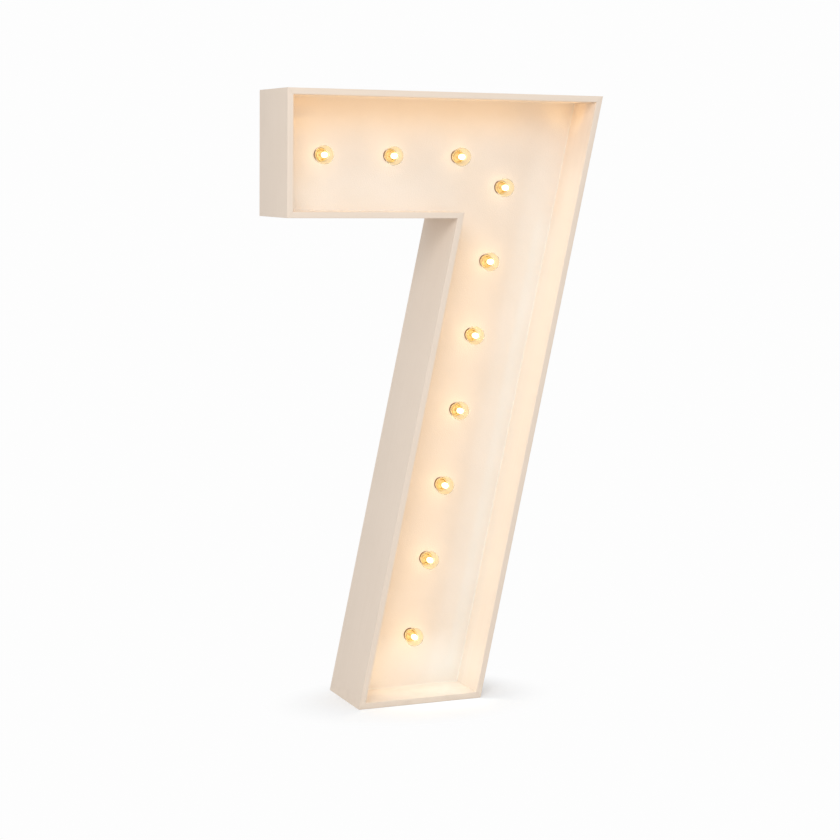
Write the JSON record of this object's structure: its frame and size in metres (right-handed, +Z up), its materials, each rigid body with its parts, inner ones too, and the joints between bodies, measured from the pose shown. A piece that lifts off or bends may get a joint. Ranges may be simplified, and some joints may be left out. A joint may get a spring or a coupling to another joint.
{
  "type": "marquee number lamp",
  "caption": "Free-standing light-up marquee numeral seven: an open-fronted box of painted boards with clear globe bulbs in a recessed panel.",
  "frame": {"origin": "on the floor, under the middle of the numeral's overall box", "axes": "+Z up, +X to the right seen from the open front, -Y out of the open front"},
  "size_m": [0.6728, 0.165, 1.219],
  "materials": {
    "painted_board": "matt warm-white paint on fibreboard",
    "painted_panel": "matt warm-white paint on fibreboard",
    "cover_board": "matt warm-white paint on hardboard",
    "batten_wood": "sawn softwood",
    "holder_plastic": "dark brown moulded",
    "cap_brass": "thin bright brass",
    "globe_glass": "clear",
    "lit_core": "frosted, lit",
    "lead_sheath": "white flexible sheath",
    "box_plastic": "moulded",
    "black_plastic": "moulded"
  },
  "bodies": {
    "root": {"arm_end_board": "painted_board", "top_board": "painted_board", "stem_outer_board": "painted_board", "foot_board": "painted_board", "stem_inner_board": "painted_board", "arm_underside_board": "painted_board", "face_panel": "painted_panel", "top_batten": "batten_wood", "stem_outer_batten": "batten_wood", "stem_inner_batten": "batten_wood", "arm_underside_batten": "batten_wood", "rear_cover": "cover_board", "lampholder_01": "holder_plastic", "lampholder_02": "holder_plastic", "lampholder_03": "holder_plastic", "lampholder_04": "holder_plastic", "lampholder_05": "holder_plastic", "lampholder_06": "holder_plastic", "lampholder_07": "holder_plastic", "lampholder_08": "holder_plastic", "lampholder_09": "holder_plastic", "lampholder_10": "holder_plastic", "lamp_lead": "lead_sheath", "inlet_lead": "lead_sheath", "switch_lead": "lead_sheath", "junction_box": "box_plastic", "dc_inlet": "black_plastic", "switch_housing": "black_plastic"},
    "bulb_01": {"bulb_cap_01": "cap_brass", "bulb_globe_01": "globe_glass", "led_core_01": "lit_core"},
    "bulb_02": {"bulb_cap_02": "cap_brass", "bulb_globe_02": "globe_glass", "led_core_02": "lit_core"},
    "bulb_03": {"bulb_cap_03": "cap_brass", "bulb_globe_03": "globe_glass", "led_core_03": "lit_core"},
    "bulb_04": {"bulb_cap_04": "cap_brass", "bulb_globe_04": "globe_glass", "led_core_04": "lit_core"},
    "bulb_05": {"bulb_cap_05": "cap_brass", "bulb_globe_05": "globe_glass", "led_core_05": "lit_core"},
    "bulb_06": {"bulb_cap_06": "cap_brass", "bulb_globe_06": "globe_glass", "led_core_06": "lit_core"},
    "bulb_07": {"bulb_cap_07": "cap_brass", "bulb_globe_07": "globe_glass", "led_core_07": "lit_core"},
    "bulb_08": {"bulb_cap_08": "cap_brass", "bulb_globe_08": "globe_glass", "led_core_08": "lit_core"},
    "bulb_09": {"bulb_cap_09": "cap_brass", "bulb_globe_09": "globe_glass", "led_core_09": "lit_core"},
    "bulb_10": {"bulb_cap_10": "cap_brass", "bulb_globe_10": "globe_glass", "led_core_10": "lit_core"},
    "rocker": {"switch_rocker": "black_plastic"}
  },
  "joints": [
    {"name": "bulb_01_unscrew", "type": "slide", "parent": "root", "child": "bulb_01", "axis": [0, -1, 0], "range_m": [0, 0.125]},
    {"name": "bulb_02_unscrew", "type": "slide", "parent": "root", "child": "bulb_02", "axis": [0, -1, 0], "range_m": [0, 0.125]},
    {"name": "bulb_03_unscrew", "type": "slide", "parent": "root", "child": "bulb_03", "axis": [0, -1, 0], "range_m": [0, 0.125]},
    {"name": "bulb_04_unscrew", "type": "slide", "parent": "root", "child": "bulb_04", "axis": [0, -1, 0], "range_m": [0, 0.125]},
    {"name": "bulb_05_unscrew", "type": "slide", "parent": "root", "child": "bulb_05", "axis": [0, -1, 0], "range_m": [0, 0.125]},
    {"name": "bulb_06_unscrew", "type": "slide", "parent": "root", "child": "bulb_06", "axis": [0, -1, 0], "range_m": [0, 0.125]},
    {"name": "bulb_07_unscrew", "type": "slide", "parent": "root", "child": "bulb_07", "axis": [0, -1, 0], "range_m": [0, 0.125]},
    {"name": "bulb_08_unscrew", "type": "slide", "parent": "root", "child": "bulb_08", "axis": [0, -1, 0], "range_m": [0, 0.125]},
    {"name": "bulb_09_unscrew", "type": "slide", "parent": "root", "child": "bulb_09", "axis": [0, -1, 0], "range_m": [0, 0.125]},
    {"name": "bulb_10_unscrew", "type": "slide", "parent": "root", "child": "bulb_10", "axis": [0, -1, 0], "range_m": [0, 0.125]},
    {"name": "switch_rock", "type": "hinge", "parent": "root", "child": "rocker", "pos_m": [0.02971, 0.0783, 0.105], "axis": [1, 0, 0], "range_deg": [0, 20]}
  ]
}
